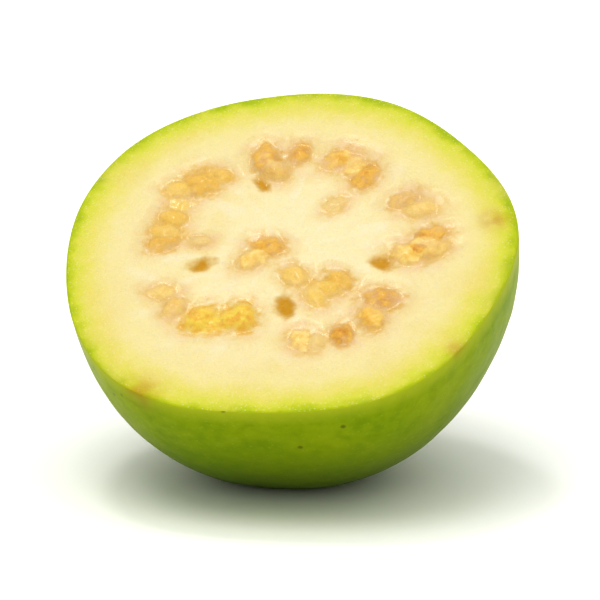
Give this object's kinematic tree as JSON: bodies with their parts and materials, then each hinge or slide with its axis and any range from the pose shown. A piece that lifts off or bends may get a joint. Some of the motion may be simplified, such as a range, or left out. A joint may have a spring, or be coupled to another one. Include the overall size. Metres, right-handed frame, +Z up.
{
  "type": "guava half",
  "caption": "Half of a green-skinned guava with pale cream flesh and a ring of seeds, lying on its skin with the cut face up and leaning to the front.",
  "frame": {"origin": "middle of the bounding box's footprint, on the surface that the fruit lies on", "axes": "+Z up, the cut face looks up and leans towards -Y, the blossom end with the calyx points towards +Y and down"},
  "size_m": [0.0684, 0.0724, 0.0537],
  "materials": {
    "guava_flesh_and_skin": "satin",
    "dried_calyx": "matte"
  },
  "bodies": {
    "root": {"guava_half": "guava_flesh_and_skin", "calyx": "dried_calyx"}
  },
  "joints": []
}
